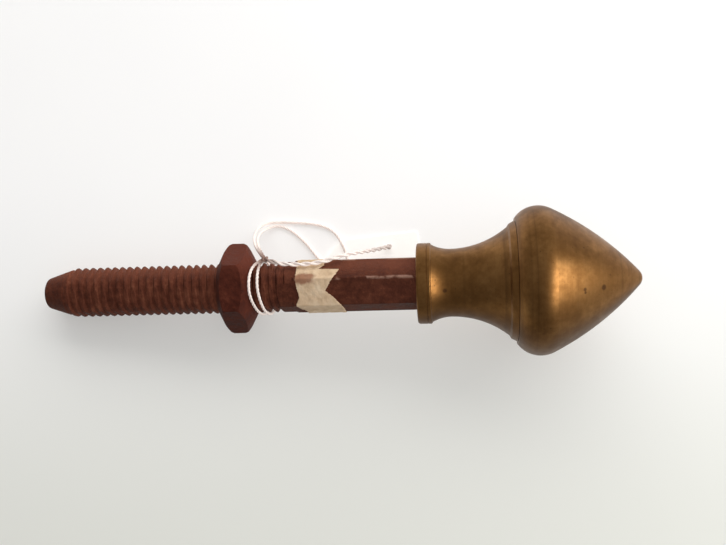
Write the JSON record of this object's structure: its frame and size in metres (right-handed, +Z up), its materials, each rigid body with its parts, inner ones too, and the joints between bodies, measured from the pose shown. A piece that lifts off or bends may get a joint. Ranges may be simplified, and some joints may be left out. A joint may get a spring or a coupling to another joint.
{
  "type": "plumb bob",
  "caption": "Brass plumb bob with a pointed bulb and waisted neck on a rusty threaded iron bar, with a hex nut, and a string tag tied beside the nut.",
  "frame": {"origin": "centre of the bounding box of the bar, nut, brass and tape at its lowest point, on the surface the bob lies on", "axes": "+X from the bar's nose towards the weight's point, +Z up from the surface the bob lies on, +Y to the side on which the tag lies"},
  "size_m": [0.1503, 0.0379, 0.037],
  "materials": {
    "rusty_iron": "rough, rusted brown",
    "rusty_nut": "rough, rusted brown",
    "aged_brass": "aged satin with brown spots",
    "cotton_string": "twisted matte thread",
    "white_card": "matte card",
    "masking_tape": "matte crepe, brown stain"
  },
  "bodies": {
    "bob": {"iron_bar": "rusty_iron", "brass_neck": "aged_brass", "brass_bulb": "aged_brass", "tape_scrap": "masking_tape"},
    "string": {"string_turns": "cotton_string", "string_loop": "cotton_string", "string_tail": "cotton_string", "hitch_knot": "cotton_string", "end_knot": "cotton_string", "paper_tag": "white_card"},
    "nut": {"hex_nut": "rusty_nut"}
  },
  "joints": [
    {"name": "nut_travel", "type": "slide", "parent": "bob", "child": "string", "axis": [0.9946, 0, 0.1033], "range_m": [-0.0372, 0.004]},
    {"name": "nut_turn", "type": "hinge", "parent": "string", "child": "nut", "pos_m": [-0.02482, 0, 0.01069], "axis": [0.9946, 0, 0.1033], "range_deg": [-6840, 720]}
  ],
  "couplings": [
    {"joint": "nut_travel", "follows": "nut_turn", "m_per_rad": 0.00031096}
  ]
}
